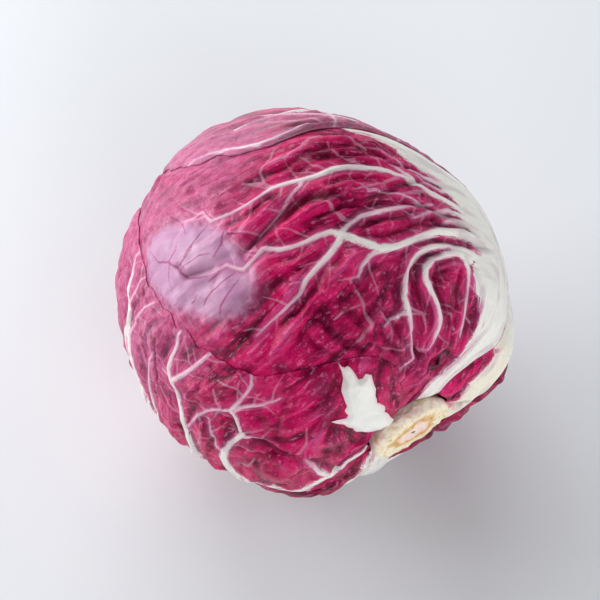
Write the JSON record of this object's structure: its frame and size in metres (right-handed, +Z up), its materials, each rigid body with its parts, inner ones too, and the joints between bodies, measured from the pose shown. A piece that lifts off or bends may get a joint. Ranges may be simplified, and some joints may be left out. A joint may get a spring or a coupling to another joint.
{
  "type": "radicchio head",
  "caption": "Round head of red radicchio lying on its side, with overlapping white-ribbed leaves round a cut stem.",
  "frame": {"origin": "middle of the small flat spot under the head, on the surface that it rests on", "axes": "+Z up; the cut stem points along (0.565, -0.820, -0.096), to the front and right and a little down; +X right and -Y front as seen by someone facing +Y"},
  "size_m": [0.1137, 0.1122, 0.1113],
  "materials": {
    "stem": "cut stem flesh, cream with a tan ring, dull",
    "heart": "packed inner leaves, magenta, semi-gloss",
    "leaf_inner_under": "waxy deep magenta leaf with white ribs",
    "leaf_front": "waxy magenta leaf with white ribs",
    "leaf_back": "waxy pinkish magenta leaf with white ribs",
    "leaf_left": "waxy magenta leaf with white ribs",
    "leaf_right": "waxy, mostly white leaf stalk with a magenta blade",
    "leaf_under": "waxy deep magenta leaf with a white stalk",
    "torn_leaf_base": "smooth white leaf flesh"
  },
  "bodies": {
    "root": {"stem_butt": "stem", "heart": "heart", "leaf_inner_under": "leaf_inner_under", "leaf_front": "leaf_front", "leaf_back": "leaf_back", "leaf_left": "leaf_left", "leaf_right": "leaf_right", "leaf_under": "leaf_under", "torn_leaf_base": "torn_leaf_base"}
  },
  "joints": []
}
